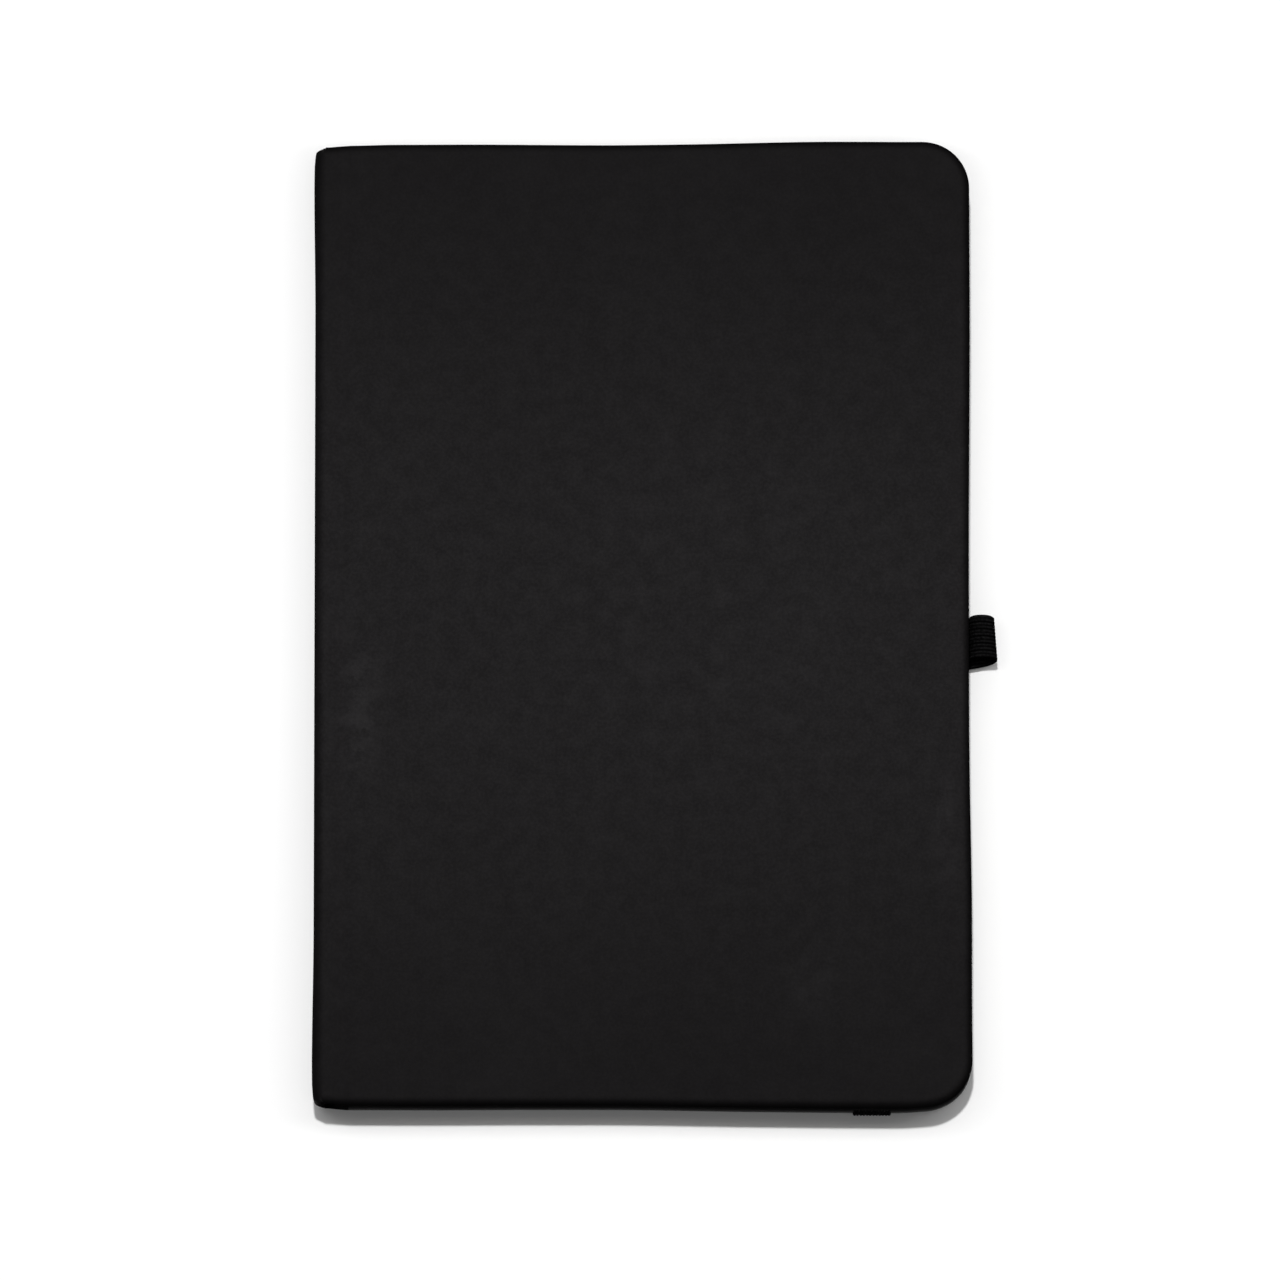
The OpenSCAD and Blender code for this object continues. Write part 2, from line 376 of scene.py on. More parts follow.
def cover_skin(name, outside_z, inward):
    """Leather over one cover: outer face, rounded edges and the turn-in with its pleats."""
    verts = []
    edges = []
    profile = cover_profile()
    for inset, spine_inset, depth in profile:
        for x, y in cover_outline(inset, spine_inset):
            near = float(smooth(1 - inset / 10))
            move_y = np.sign(y) * (outline_wave(x, y) + end_flare(x, y, inward < 0)) * near
            if abs(y) < COVER_HALF - 12:
                move_y = 0.0
            fore = float(smooth((x - FORE_X + 25) / 15)) * near
            move_x = fore * (OUTLINE_WAVE * wave(y, 90, 30, 3) + fore_flare(y))
            d = depth
            if depth < EDGE_R:
                d += face_wave(x, y)
                d += joint_dip(x) * (1 - depth / EDGE_R)
            if depth > 2 and 1.0 < inset < PLEAT_REACH:
                d -= corner_pleat(x, y) * float(smooth((PLEAT_REACH - inset) / 6))
            verts.append((x + move_x, y + move_y, outside_z + inward * d))
            # Edge share near the free outline, which the material darkens as painted shade
            free = max(inset, COVER_HALF - abs(y)) if x < BOARD_X + 1 else inset
            edges.append(1 - float(smooth(free / 2.0)))
    count = len(cover_outline(0, 0))
    obj = make_mesh(name, verts, ring_faces(len(profile), count), 50)
    return mark_edges(obj, edges)


# ---------------------------------------------------------------- spine and joints
def joint_paths(top):
    """Outer and inner paths of a joint, from the board round the corner to the spine's edge.

    Heights are measured from the spine's middle; top is the height of the cover's outside."""
    end = (spine_high[2] - spine_low[2]) / 2
    outer = []
    for x in np.linspace(BOARD_X, SPINE_X + SPINE_CORNER_R, 12):
        outer.append((x, top - joint_dip(x)))
    for a in np.radians(np.linspace(90, 180, 12))[1:]:
        outer.append((SPINE_X + SPINE_CORNER_R * (1 + math.cos(a)),
                      top - SPINE_CORNER_R * (1 - math.sin(a))))
    for z in np.linspace(top - SPINE_CORNER_R, end, 5)[1:]:
        outer.append((SPINE_X, z))
    outer = np.array(outer)
    steps = np.gradient(outer, axis=0)
    normals = np.stack([-steps[:, 1], steps[:, 0]], axis=1)
    normals /= np.linalg.norm(normals, axis=1)[:, None]
    thick = STRIP_T + (EDGE_R - STRIP_T) * smooth(1 - np.arange(len(outer)) / 9)
    return outer, outer + normals * thick[:, None], thick * 0.98


def strip_weights(obj, path, hinge, up):
    """Weights over a joint strip, by each point's angle about the hinge.
"""

    def angle(x, z):
        turned = np.degrees(np.arctan2(up * (z - hinge[2]), x - hinge[0]))
        return np.where(turned < -90, turned + 360, turned)

    points = np.array([v.co for v in obj.data.vertices]) / MM
    at_board = angle(*path[0])
    at_spine = angle(*path[-1])
    share = (at_spine - angle(points[:, 0], points[:, 2])) / (at_spine - at_board)
    share = np.clip(share, 0, 1)


def spine_skin():
    """Leather round the spine's card, turned in at head and tail."""
    z = np.linspace(spine_low[2], spine_high[2], 6)
    outer = np.stack([np.full(6, SPINE_X), z], axis=1)
    inner = outer + np.array([SPINE_T, 0])
    return leather_strip("spine_covering", outer, inner, [0.9] * 6, 0.6)


# ---------------------------------------------------------------- paper
def leaf_columns(fore_x, half, r, spine_x, count=6):
    """(x, half height) columns of a leaf from its round-cornered fore edge to the spine."""
    columns = []
    for a in np.radians(np.linspace(0, 90, 9)):
        columns.append((fore_x - r + r * math.cos(a), half - r + r * math.sin(a)))
    for x in np.linspace(fore_x - r, spine_x, count)[1:]:
        columns.append((x, half))
    return columns


def folded_sheet(top_z, bottom_z, apex_x, top_x, bottom_x, half, thick, rows=14, relief=None):
    """A sheet folded at the spine: its upper leaf lies at top_z and its lower at bottom_z."""
    r = (top_z - bottom_z) / 2
    centre = apex_x + r
    upper = leaf_columns(top_x, half, PAGE_CORNER_R, centre)
    lower = leaf_columns(bottom_x, half, PAGE_CORNER_R, centre)
    middle = [(x, h, top_z, (0, 1)) for x, h in upper]
    for a in np.radians(np.linspace(90, 270, 9))[1:-1]:
        middle.append((centre + r * math.cos(a), half, (top_z + bottom_z) / 2 + r * math.sin(a),
                       (math.cos(a), math.sin(a))))
    middle += [(x, h, bottom_z, (0, -1)) for x, h in reversed(lower)]
    across = np.linspace(-1, 1, rows)
    outer = np.zeros((len(middle), rows, 3))
    inner = outer.copy()
    for i, (x, h, z, n) in enumerate(middle):
        for j, v in enumerate(across):
            y = v * h
            lift = relief(x, y, n[1]) if relief else 0.0
            outer[i, j] = (x + n[0] * thick / 2, y, z + n[1] * thick / 2 + lift)
            inner[i, j] = (x - n[0] * thick / 2, y, z - n[1] * thick / 2 + lift)
    return slab_parts(outer, inner)


def signature_sheets(number):
    """Four sheets nested and folded to eight leaves, none trimmed quite alike."""
    low, high = box_mm("signature_%02d" % number)
    leaves = 8
    pitch = (high[2] - low[2]) / leaves
    parts = []
    for k in range(leaves // 2):
        trim = rng.uniform(0.0, 0.14, 3)
        parts.append(folded_sheet(high[2] - (k + 0.5) * pitch, low[2] + (k + 0.5) * pitch,
                                  low[0] + (k + 0.5) * pitch, high[0] - trim[0],
                                  high[0] - trim[1], high[1] - 0.6 * trim[2], 0.84 * pitch))
    return join_parts("signature_%02d_sheets" % number, parts, 30)


def endpaper(name, paste_z, paste_out, fly_z, dip):
    """One sheet: a leaf pasted down, pressed in between the turn-ins, and a free leaf."""
    top, bottom = max(paste_z, fly_z), min(paste_z, fly_z)
    inner_inset = TURN_IN - (FORE_X - PAGE_X)

    def relief(x, y, side):
        if side * paste_out <= 0.9:
            return 0.0
        edge = min(PAGE_HALF - abs(y), PAGE_X - x) - inner_inset
        joint = x - BOARD_X - 1.2
        return paste_out * dip * float(smooth((min(edge, joint) + 0.3) / 1.6))

    thick = fly_high[2] - fly_low[2]
    sheet = folded_sheet(top, bottom, fly_low[0], PAGE_X, PAGE_X, PAGE_HALF, thick, 60, relief)
    return join_parts(name, [sheet], 30)


# ---------------------------------------------------------------- elastic
def band_profile(width, thick, ribs):
    """Closed cross-section of a ribbed elastic band, (across, through)."""
    count = ribs * 12
    side = []
    for i in range(count + 1):
        u = (i / count - 0.5) * width
        phase = (i / 12) % 1.0
        groove = (0.5 + 0.5 * math.cos(4 * math.pi * phase)) ** 2
        deep = 1.0 if min(phase, 1 - phase) < 0.25 else 0.7
        edge = max(0.0, abs(u) - width / 2 + 0.3) / 0.3
        side.append((u, thick / 2 - GROOVE * deep * groove - 0.1 * edge ** 2))
    under = [(u, -n) for u, n in reversed(side)]
    return np.array(side + under)


def sweep(name, profile, centres, normals, lateral, ribbed=None):
    """Carry a profile along centres; lateral is the direction across the band.

    ribbed, from 0 to 1 at each centre, is how much of the ribs' depth the band keeps there."""
    verts = []
    half = np.abs(profile[:, 1]).max()
    ribbed = np.ones(len(centres)) if ribbed is None else ribbed
    for centre, normal, share in zip(centres, normals, ribbed):
        for u, n in profile:
            flat = math.copysign(half * FLAT_SHARE, n)
            verts.append(centre + lateral * u + normal * (flat + (n - flat) * share))
    obj = make_mesh(name, verts, ring_faces(len(centres), len(profile)), 60)
    # Groove depth as the edge share, which the material darkens as painted shade
    depth = np.abs(profile[:, 1]).max() - np.abs(profile[:, 1])
    return mark_edges(obj, np.tile(smooth(depth / 0.2), len(centres)))


def path_normals(points, lateral):
    steps = np.gradient(points, axis=0)
    steps /= np.linalg.norm(steps, axis=1)[:, None]
    return np.cross(steps, lateral)


def fillet_path(corners, radius, step):
    """Points along straight runs through corners, each corner rounded off to radius."""
    points = [np.array(corners[0], float)]
    for before, corner, after in zip(corners, corners[1:], corners[2:]):
        corner = np.array(corner, float)
        to_before = (np.array(before) - corner) / np.linalg.norm(np.array(before) - corner)
        to_after = (np.array(after) - corner) / np.linalg.norm(np.array(after) - corner)
        start, end = corner + to_before * radius, corner + to_after * radius
        for t in np.linspace(0, 1, 7):
            points.append((1 - t) ** 2 * start + 2 * t * (1 - t) * corner + t * t * end)
    points.append(np.array(corners[-1], float))
    filled = [points[0]]
    for a, b in zip(points, points[1:]):
        pieces = max(1, int(np.linalg.norm(b - a) / step))
        filled += [a + (b - a) * k / pieces for k in range(1, pieces + 1)]
    return np.array(filled)


def closure_strap(name, side):
    """Half of the closure elastic, from the middle of the back round an edge and in."""
    x = (span_low[0] + span_high[0]) / 2
    thick = span_high[2] - span_low[2]
    low_z = span_low[2] + thick / 2
    out_y = end_high[1] - thick / 2 + CLOSURE_SLACK
    in_z = end_high[2] - thick / 2
    corners = [(x, 0.0, low_z), (x, side * out_y, low_z), (x, side * out_y, in_z),
               (x, side * (end_low[1] + 0.4), in_z)]
    centres = fillet_path(corners, 0.95, 2.5)
    lateral = np.array([1.0, 0.0, 0.0])
    width = span_high[0] - span_low[0]
    return sweep(name, band_profile(width, thick, RIBS), centres,
                 path_normals(centres, lateral), lateral)


def loop_skew(z, out):
    """How far the pen loop strays along Y: askew upright, and more so low down by the cover.

    out is 0 at the cover's edge and 1 at the loop's far side."""
    middle_z = (tails_low[2] + loop_high[2]) / 2
    level = (z - middle_z) / 3.5
    return 0.45 * level - 0.35 + min(level, 0.0) * 1.1 * (1 - out)


def loop_strap():
    """The pen loop: one band out of the cover, up round the pen and back in above itself."""
    y = (loop_low[1] + loop_high[1]) / 2
    thick = (tails_high[2] - tails_low[2]) / 2
    r = LOOP_OUTER_R - thick / 2
    cx = loop_high[0] - LOOP_OUTER_R
    top_cz = loop_high[2] - LOOP_OUTER_R
    low_cz = loop_low[2] + LOOP_OUTER_R
    low_z = tails_low[2] + thick / 2
    high_z = tails_high[2] - thick / 2
    points = [(tails_high[0] - 0.3, low_z), (tails_high[0] + 0.8, low_z)]
    for a in np.radians(np.linspace(-90, 0, 14)):
        points.append((cx + r * math.cos(a), low_cz + r * math.sin(a)))
    for a in np.radians(np.linspace(0, 180, 26)):
        points.append((cx + r * math.cos(a), top_cz + r * math.sin(a)))
    points += [(cx - r, low_cz), (cx - r + 0.02, low_cz - 0.7)]
    end = np.array([tails_high[0] - 0.3, high_z])
    start = np.array(points[-1])
    knee = np.array([cx - r - 0.02, high_z])
    for t in np.linspace(0, 1, 8)[1:]:
        points.append(tuple((1 - t) ** 2 * start + 2 * t * (1 - t) * knee + t * t * end))
    centres = np.array([(px, y, pz) for px, pz in points])
    lateral = np.array([0.0, 1.0, 0.0])
    width = loop_high[1] - loop_low[1]
    ribbed = smooth((centres[:, 0] - FORE_X - 0.1) / 0.7)
    obj = sweep("pen_loop_band", band_profile(width, thick, RIBS), centres,
                path_normals(centres, lateral), lateral, ribbed)
    reach = loop_high[0] - FORE_X
    for vertex in obj.data.vertices:
        p = np.array(vertex.co) / MM
        out = min(max((p[0] - FORE_X) / reach, 0.0), 1.0)
        lean = -0.35 * (p[1] - y) / 4.7 * out
        vertex.co = Vector((p[0] + lean, p[1] + loop_skew(p[2], out), p[2])) * MM
    return obj


def tail_straps():
    """The pen loop's two ends, flat on each other inside the back cover."""
    middle_y = (tails_low[1] + tails_high[1]) / 2
    thick = (tails_high[2] - tails_low[2]) / 2
    profile = band_profile(tails_high[1] - tails_low[1], thick, RIBS)
    profile[:, 1] = np.sign(profile[:, 1]) * np.abs(profile[:, 1]).max() * FLAT_SHARE
    lateral = np.array([0.0, 1.0, 0.0])
    upward = np.array([0.0, 0.0, 1.0])
    parts = []
    for level in (0.5, 1.5):
        z = tails_low[2] + level * thick
        y = middle_y + loop_skew(z, 0.0)
        centres = np.array([(x, y, z) for x in np.linspace(tails_low[0], tails_high[0], 8)])
        verts = []
        for centre in centres:
            for u, n in profile:
                verts.append(centre + lateral * u + upward * n)
        parts.append((np.array(verts), ring_faces(len(centres), len(profile))))
    return join_parts("pen_loop_band_ends", parts, 60)


# ---------------------------------------------------------------- sewing and linings
STATIONS = 7
STATION_PITCH = 28.0
THREAD_R = 0.13


def barrel(cx, cy, z0, z1, r, turns=18):
    """A bead of wound thread: thickest halfway up."""
    verts = []
    levels = np.linspace(0, 1, 7)
    for t in levels:
        radius = r * (0.72 + 0.28 * math.sin(math.pi * t) ** 0.6)
        for a in np.linspace(0, 2 * math.pi, turns, endpoint=False):
            verts.append((cx + radius * math.cos(a), cy + radius * math.sin(a),
                          z0 + (z1 - z0) * t))
    return np.array(verts), ring_faces(len(levels), turns)


def block_bits(number):
    """One signature's share of the headbands, the mull and the sewing."""
    body = "signature_%02d" % number
    low, high = box_mm(body)
    z0, z1 = max(low[2] - 0.01, head_low[2]), min(high[2] + 0.01, head_high[2])
    beads = []
    r = (head_high[0] - head_low[0]) / 2
    for band_low, band_high in ((head_low, head_high), (tail_band_low, tail_band_high)):
        cx = (band_low[0] + band_high[0]) / 2
        cy = (band_low[1] + band_high[1]) / 2
        half = (z0 + z1) / 2
        beads.append(barrel(cx, cy, z0, half, r))
        beads.append(barrel(cx, cy, half, z1, r))
    headband = join_parts(body + "_headbands", beads, 50)

    x0, x1 = mull_low[0], mull_high[0]
    rows = np.linspace(mull_low[1], mull_high[1], 60)
    zs = np.linspace(max(low[2], mull_low[2]), min(high[2], mull_high[2]), 4)
    outer = np.array([[(x0 + 0.03 * wave(y, z, 1.5, 5), y, z) for y in rows] for z in zs])
    inner = outer + np.array([x1 - x0, 0, 0])
    mull = join_parts(body + "_mull", [slab_parts(outer, inner)])

    stitches = []
    tx = (thread_low[0] + thread_high[0]) / 2
    for k in range(STATIONS):
        y = (k - (STATIONS - 1) / 2) * STATION_PITCH
        for off in (-0.35, 0.35):
            stitches.append(barrel(tx, y + off, max(low[2], thread_low[2]),
                                   min(high[2], thread_high[2]), THREAD_R, 10))
    thread = join_parts(body + "_stitches", stitches, 50)
    return headband, mull, thread


# ---------------------------------------------------------------- materials
class Nodes:
    """A short way to write a node material."""

    def __init__(self, name):
        self.material = bpy.data.materials.new(name)
        self.material.use_nodes = True
        self.tree = self.material.node_tree
        self.shader = self.tree.nodes["Principled BSDF"]
        self.where = self.tree.nodes.new("ShaderNodeTexCoord").outputs["Object"]

    def attribute(self, name):
        node = self.tree.nodes.new("ShaderNodeAttribute")
        node.attribute_name = name
        return node.outputs["Fac"]

    def link(self, source, target):
        self.tree.links.new(source, target)

    def noise(self, scale, detail=3.0, rough=0.5, stretch=None):
        node = self.tree.nodes.new("ShaderNodeTexNoise")
        node.inputs["Scale"].default_value = scale
        node.inputs["Detail"].default_value = detail
        node.inputs["Roughness"].default_value = rough
        source = self.where
        if stretch:
            source = self.vector("MULTIPLY", source, stretch)
        self.link(source, node.inputs["Vector"])
        return node.outputs["Fac"]

    def vector(self, operation, a, b):
        node = self.tree.nodes.new("ShaderNodeVectorMath")
        node.operation = operation
        self.link(a, node.inputs[0])
        node.inputs[1].default_value = b
        return node.outputs[0]

    def length(self, a):
        node = self.tree.nodes.new("ShaderNodeVectorMath")
        node.operation = "LENGTH"
        self.link(a, node.inputs[0])
        return node.outputs["Value"]

    def math(self, operation, a, b=0.0):
        node = self.tree.nodes.new("ShaderNodeMath")
        node.operation = operation
        for value, socket in ((a, node.inputs[0]), (b, node.inputs[1])):
            if isinstance(value, (int, float)):
                socket.default_value = value
            else:
                self.link(value, socket)
        return node.outputs[0]

    def spread(self, value, low, high, out_low=0.0, out_high=1.0):
        node = self.tree.nodes.new("ShaderNodeMapRange")
        node.interpolation_type = "SMOOTHSTEP"
        self.link(value, node.inputs["Value"])
        for name, number in (("From Min", low), ("From Max", high),
                             ("To Min", out_low), ("To Max", out_high)):
            node.inputs[name].default_value = number
        return node.outputs["Result"]

    def mix(self, share, a, b):
        node = self.tree.nodes.new("ShaderNodeMix")
        node.data_type = "RGBA"
        if isinstance(share, (int, float)):
            node.inputs[0].default_value = share
        else:
            self.link(share, node.inputs[0])
        for value, socket in ((a, node.inputs[6]), (b, node.inputs[7])):
            if isinstance(value, tuple):
                socket.default_value = (*value, 1)
            else:
                self.link(value, socket)
        return node.outputs[2]

    def bump(self, height, distance, strength=1.0, under=None):
        node = self.tree.nodes.new("ShaderNodeBump")
        node.inputs["Strength"].default_value = strength
        node.inputs["Distance"].default_value = distance
        self.link(height, node.inputs["Height"])
        if under is not None:
            self.link(under, node.inputs["Normal"])
        return node.outputs["Normal"]

    def finish(self, colour, roughness, normal=None, sheen=0.0, sheen_rough=0.5, specular=0.0):
        self.link(colour, self.shader.inputs["Base Color"])
        if isinstance(roughness, (int, float)):
            self.shader.inputs["Roughness"].default_value = roughness
        else:
            self.link(roughness, self.shader.inputs["Roughness"])
        if normal is not None:
            self.link(normal, self.shader.inputs["Normal"])
        self.shader.inputs["Sheen Weight"].default_value = sheen
        self.shader.inputs["Sheen Roughness"].default_value = sheen_rough
        self.shader.inputs["Specular IOR Level"].default_value = specular
        return self.material


# Places on the front cover made paler: the first three are rubbed paler by handling, and the last,
# broad one over the middle is a painted pool of light; centre, half size and strength
RUBS_AND_LIGHT_POOL = [((-64.5, -20.0), (6.0, 26.0), 1.0), ((34.0, -79.0), (9.0, 14.0), 0.9),
            ((63.5, -47.0), (4.5, 17.0), 0.8), ((20.0, 10.0), (45.0, 60.0), 0.35)]


def leathercloth():
    m = Nodes("leathercloth_black")
    mottle = m.noise(260, 6, 0.62)
    cloud = m.noise(38, 4, 0.55)
    speck = m.noise(1500, 3, 0.6)
    tone = m.math("ADD", m.spread(mottle, 0.3, 0.72, 0.15, 0.5),
                  m.spread(cloud, 0.35, 0.7, 0.1, 0.25))
    tone = m.math("ADD", tone, m.spread(speck, 0.35, 0.7, 0.05, 0.45))
    patchy = m.spread(m.noise(120, 6, 0.7), 0.42, 0.62)
    # Paler tone at spots rubbed by handling and at one painted pool of light over the middle of
    # the cover
    for (cx, cy), (rx, ry), strength in RUBS_AND_LIGHT_POOL:
        place = m.vector("SUBTRACT", m.where, (cx * MM, cy * MM, TOP_Z * MM))
        place = m.vector("MULTIPLY", place, (1 / (rx * MM), 1 / (ry * MM), 150))
        mask = m.spread(m.length(place), 0.2, 1.15, 1.0, 0.0)
        tone = m.math("ADD", tone, m.math("MULTIPLY", m.math("MULTIPLY", mask, patchy),
                                          0.6 * strength))
    # Painted shade: the tone darkens towards the head and tail, where the light falls off
    end = m.vector("MULTIPLY", m.where, (0, 1 / (COVER_HALF * MM), 0))
    tone = m.math("MULTIPLY", tone, m.spread(m.length(end), 0.1, 1.15, 0.66, 0.22))
    colour = m.mix(tone, (0.0048, 0.0043, 0.0046), (0.0172, 0.0162, 0.0169))
    # Painted shade: rolled edges and the spine, as marked in the edge attribute, are darkened
    # towards black; sheen and specular are turned down there too
    colour = m.mix(m.math("MULTIPLY", m.attribute("edge"), 0.72), colour, (0.0006, 0.0006, 0.0006))
    grain = m.bump(m.noise(2600, 4, 0.6), 0.00004, 0.5)
    nap = m.bump(mottle, 0.0001, 0.35, grain)
    rough = m.spread(cloud, 0.3, 0.7, 0.62, 0.74)
    rough = m.math("SUBTRACT", rough, m.math("MULTIPLY", m.attribute("gloss"), 0.25))
    flat = m.math("SUBTRACT", 1.0, m.attribute("edge"))
    shine = m.math("MULTIPLY", flat, 0.03)
    shine = m.math("ADD", shine, m.math("MULTIPLY", m.attribute("gloss"), 0.06))
    m.link(shine, m.shader.inputs["Specular IOR Level"])
    m.link(m.math("MULTIPLY", m.math("POWER", flat, 2.0), 0.3), m.shader.inputs["Sheen Weight"])
    return m.finish(colour, rough, nap, 0.0, 0.35)


def paper(name, pale, dark):
    m = Nodes(name)
    fibre = m.noise(900, 5, 0.6, (1, 3, 1))
    cloud = m.noise(90, 3, 0.5)
    share = m.math("ADD", m.spread(fibre, 0.35, 0.7, 0.0, 0.5),
                   m.spread(cloud, 0.3, 0.7, 0.0, 0.2))
    return m.finish(m.mix(share, pale, dark), 0.85, m.bump(fibre, 0.00003, 0.4), 0.0, 0.5, 0.2)


def fibrous(name, dark, pale, scale, stretch, roughness, sheen, depth, specular=0.3):
    """Fibres or weave; grooves marked on the mesh are painted darker, as shade."""
    m = Nodes(name)
    weave = m.noise(scale, 4, 0.6, stretch)
    wear = m.noise(70, 4, 0.5)
    share = m.math("ADD", m.spread(weave, 0.3, 0.7, 0.0, 0.7),
                   m.spread(wear, 0.4, 0.7, 0.0, 0.3))
    # Painted shade: grooves marked in the edge attribute are darkened
    colour = m.mix(m.math("MULTIPLY", m.attribute("edge"), 0.95), m.mix(share, dark, pale),
                   tuple(0.3 * c for c in dark))
    return m.finish(colour, roughness, m.bump(weave, depth, 0.6), sheen, 0.4, specular)


def headband_silk():
    """Beads of alternate colour, wound with fine thread."""
    m = Nodes("headband_silk")
    split = m.tree.nodes.new("ShaderNodeSeparateXYZ")
    m.link(m.where, split.inputs[0])
    step = 0.41 * MM
    phase = m.math("SINE", m.math("MULTIPLY", split.outputs["Z"], math.pi / step))
    stripe = m.spread(phase, -0.1, 0.1)
    thread = m.noise(3500, 2, 0.5, (1, 1, 4))
    colour = m.mix(stripe, (0.02, 0.019, 0.02), (0.62, 0.58, 0.5))
    return m.finish(colour, 0.6, m.bump(thread, 0.00005, 0.6), 0.3, 0.4, 0.4)


MATERIALS = {
    "leathercloth": leathercloth(),
    "endpaper": paper("endpaper_ivory", (0.56, 0.54, 0.48), (0.49, 0.465, 0.405)),
    "pages": paper("page_cream", (0.63, 0.61, 0.55), (0.56, 0.535, 0.475)),
    "greyboard": fibrous("greyboard_fibre", (0.16, 0.15, 0.14), (0.30, 0.29, 0.27),
                         700, (1, 1, 3), 0.9, 0.0, 0.00005),
    "mull": fibrous("mull_gauze", (0.5, 0.48, 0.42), (0.72, 0.7, 0.63),
                    1400, (1, 3, 1), 0.9, 0.2, 0.0001),
    "thread": fibrous("linen_thread", (0.5, 0.47, 0.4), (0.75, 0.72, 0.64),
                      3000, (1, 1, 5), 0.7, 0.2, 0.00004),
    "headband": headband_silk(),
    "elastic": fibrous("elastic_black", (0.0012, 0.0012, 0.0013), (0.0125, 0.0121, 0.0125),
                       2200, (1, 1, 1), 0.8, 0.0, 0.00005, 0.0),
}


def dress(obj, name):
    obj.data.materials.clear()
    obj.data.materials.append(MATERIALS[name])
    return obj


# ---------------------------------------------------------------- the book
front_skin = dress(cover_skin("front_covering", TOP_Z, -1), "leathercloth")
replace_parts(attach(front_skin, "front_cover"), "front_cover_leather")
back_skin = dress(cover_skin("back_covering", BACK_Z, 1), "leathercloth")
ease_rim_shade_add_gloss(back_skin)
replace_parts(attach(back_skin, "back_cover"), "back_cover_leather")
spine_piece = dress(spine_skin(), "leathercloth")
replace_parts(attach(spine_piece, "spine"), "spine_leather")

MIDDLE_Z = (TOP_Z + BACK_Z) / 2
lift = np.array([0.0, MIDDLE_Z])
flip = np.array([1.0, -1.0])
half_top = TOP_Z - MIDDLE_Z
outer_path, inner_path, strip_radii = joint_paths(half_top)
front_paths = (outer_path + lift, inner_path + lift)
back_paths = (outer_path * flip + lift, inner_path * flip + lift)

front_joint = leather_strip("front_joint_covering", *front_paths, strip_radii, 0.02)
dress(front_joint, "leathercloth")
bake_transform(front_joint)
strip_weights(front_joint, front_paths[0], front_hinge, 1)
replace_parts(front_joint, "front_joint_leather")

back_joint = leather_strip("back_joint_covering", *back_paths, strip_radii, 0.02)
dress(back_joint, "leathercloth")
ease_rim_shade_add_gloss(back_joint)
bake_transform(back_joint)
strip_weights(back_joint, back_paths[0], back_hinge, -1)
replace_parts(back_joint, "back_joint_leather")

paste_t = fly_high[2] - fly_low[2]
front_end = endpaper("front_endpaper", paste_low[2] + paste_t / 2, 1,
                     (fly_low[2] + fly_high[2]) / 2, 0.26)
dress(front_end, "endpaper")
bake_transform(front_end)
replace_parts(front_end, "front_pastedown", "front_flyleaf")
back_end = endpaper("back_endpaper", back_paste_high[2] - paste_t / 2, -1,
                    (back_fly_low[2] + back_fly_high[2]) / 2, 0.26)
dress(back_end, "endpaper")
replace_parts(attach(back_end, "back_cover"), "back_pastedown", "back_flyleaf")

for number in range(1, SIGNATURES + 1):
    body = "signature_%02d" % number
    sheets = dress(signature_sheets(number), "pages")
    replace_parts(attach(sheets, body), body)
    headband, mull, thread = block_bits(number)
    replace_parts(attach(dress(headband, "headband"), body), "headband_head", "headband_tail")
    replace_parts(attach(dress(mull, "mull"), body), "mull_spine")
    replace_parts(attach(dress(thread, "thread"), body), "sewing_thread")

for side, word in ((1, "head"), (-1, "tail")):
    strap = dress(closure_strap("closure_band_" + word, side), "elastic")
    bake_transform(strap)
    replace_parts(strap, "closure_end_" + word, "closure_span")

ends = dress(tail_straps(), "elastic")
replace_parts(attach(ends, "loop_ends"), "pen_loop_tails")
band = dress(loop_strap(), "elastic")
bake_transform(band)
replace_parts(band, "pen_loop")

for node, name in (("front_board", "greyboard"), ("back_board", "greyboard"),
                   ("spine_card", "greyboard"), ("mull_front_flap", "mull"),
                   ("mull_back_flap", "mull")):
    dress(frame["nodes"][node], name)


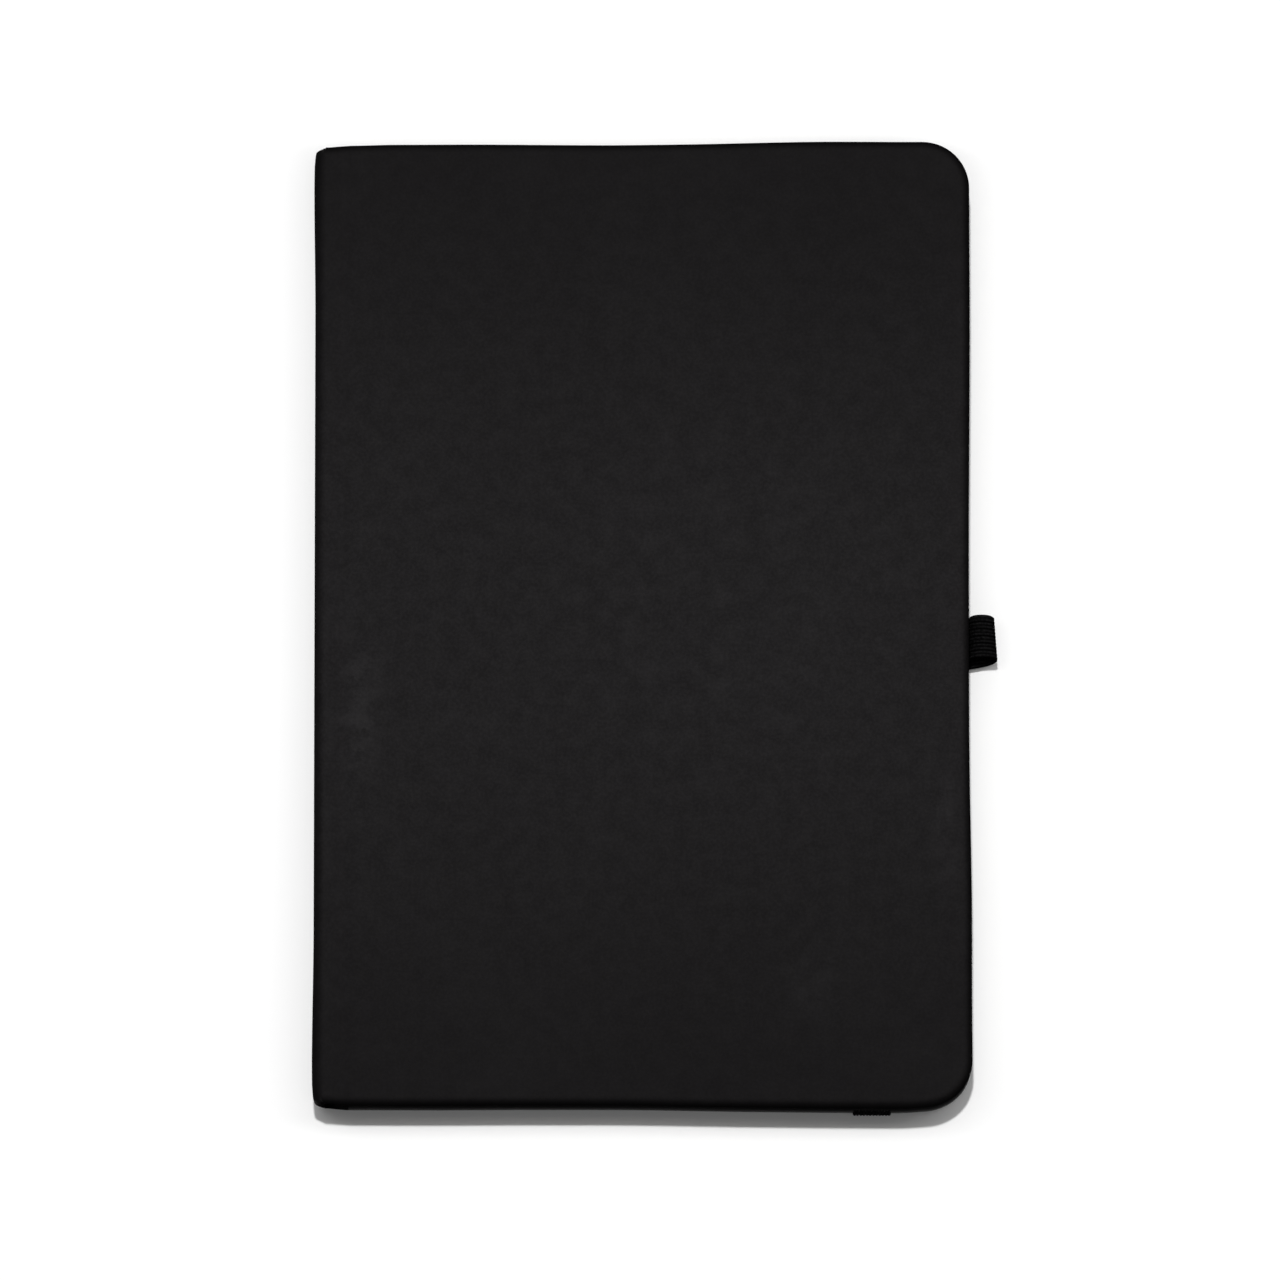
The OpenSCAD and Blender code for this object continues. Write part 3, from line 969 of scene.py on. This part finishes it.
# ---------------------------------------------------------------- studio
def plane(name, size, z):
    mesh = bpy.data.meshes.new(name)
    s = size / 2
    mesh.from_pydata([(-s, -s, z), (s, -s, z), (s, s, z), (-s, s, z)], [], [(0, 1, 2, 3)])
    obj = bpy.data.objects.new(name, mesh)
    bpy.context.scene.collection.objects.link(obj)
    return obj


def area_light(name, place, target, size, power):
    data = bpy.data.lights.new(name, "AREA")
    data.shape = "DISK"
    data.size = size
    data.energy = power
    light = bpy.data.objects.new(name, data)
    bpy.context.scene.collection.objects.link(light)
    light.location = place
    light.rotation_euler = (Vector(target) - Vector(place)).to_track_quat("-Z", "Y").to_euler()
    light.visible_camera = False
    return light


floor = plane("floor", 8.0, 0.0)
pale = Nodes("studio_floor")
floor.data.materials.append(pale.finish(
    pale.mix(pale.noise(3, 2, 0.4), (0.93, 0.93, 0.93), (0.95, 0.95, 0.95)), 0.9))

centre = Vector(((SPINE_X + FORE_X) / 2 * MM, 0, TOP_Z * MM))
key = area_light("key", (-0.08, 0.74, 3.86), centre, 0.15, 98)
soft = area_light("overhead", (0.0, 0.03, 0.45), centre, 0.12, 0.95)
soft.data.shape = "RECTANGLE"
soft.data.size = 0.8
soft.data.size_y = 0.12

world = bpy.data.worlds.new("studio")
world.use_nodes = True
world.node_tree.nodes["Background"].inputs[0].default_value = (1, 1, 1, 1)
world.node_tree.nodes["Background"].inputs[1].default_value = 0.23
bpy.context.scene.world = world

TILT = math.radians(7.0)
DISTANCE = 2.95
camera_data = bpy.data.cameras.new("camera")
camera_data.sensor_width = 36
camera_data.lens = 380
camera_data.clip_end = 20
camera = bpy.data.objects.new("camera", camera_data)
bpy.context.scene.collection.objects.link(camera)
look = centre + Vector((-0.00035, -0.0038, 0))
camera.location = look + DISTANCE * Vector((0, -math.sin(TILT), math.cos(TILT)))
camera.rotation_euler = (TILT, 0, 0)
bpy.context.scene.camera = camera
bpy.context.scene.render.resolution_x = 1280
bpy.context.scene.render.resolution_y = 1280
bpy.context.scene.view_settings.view_transform = "Standard"
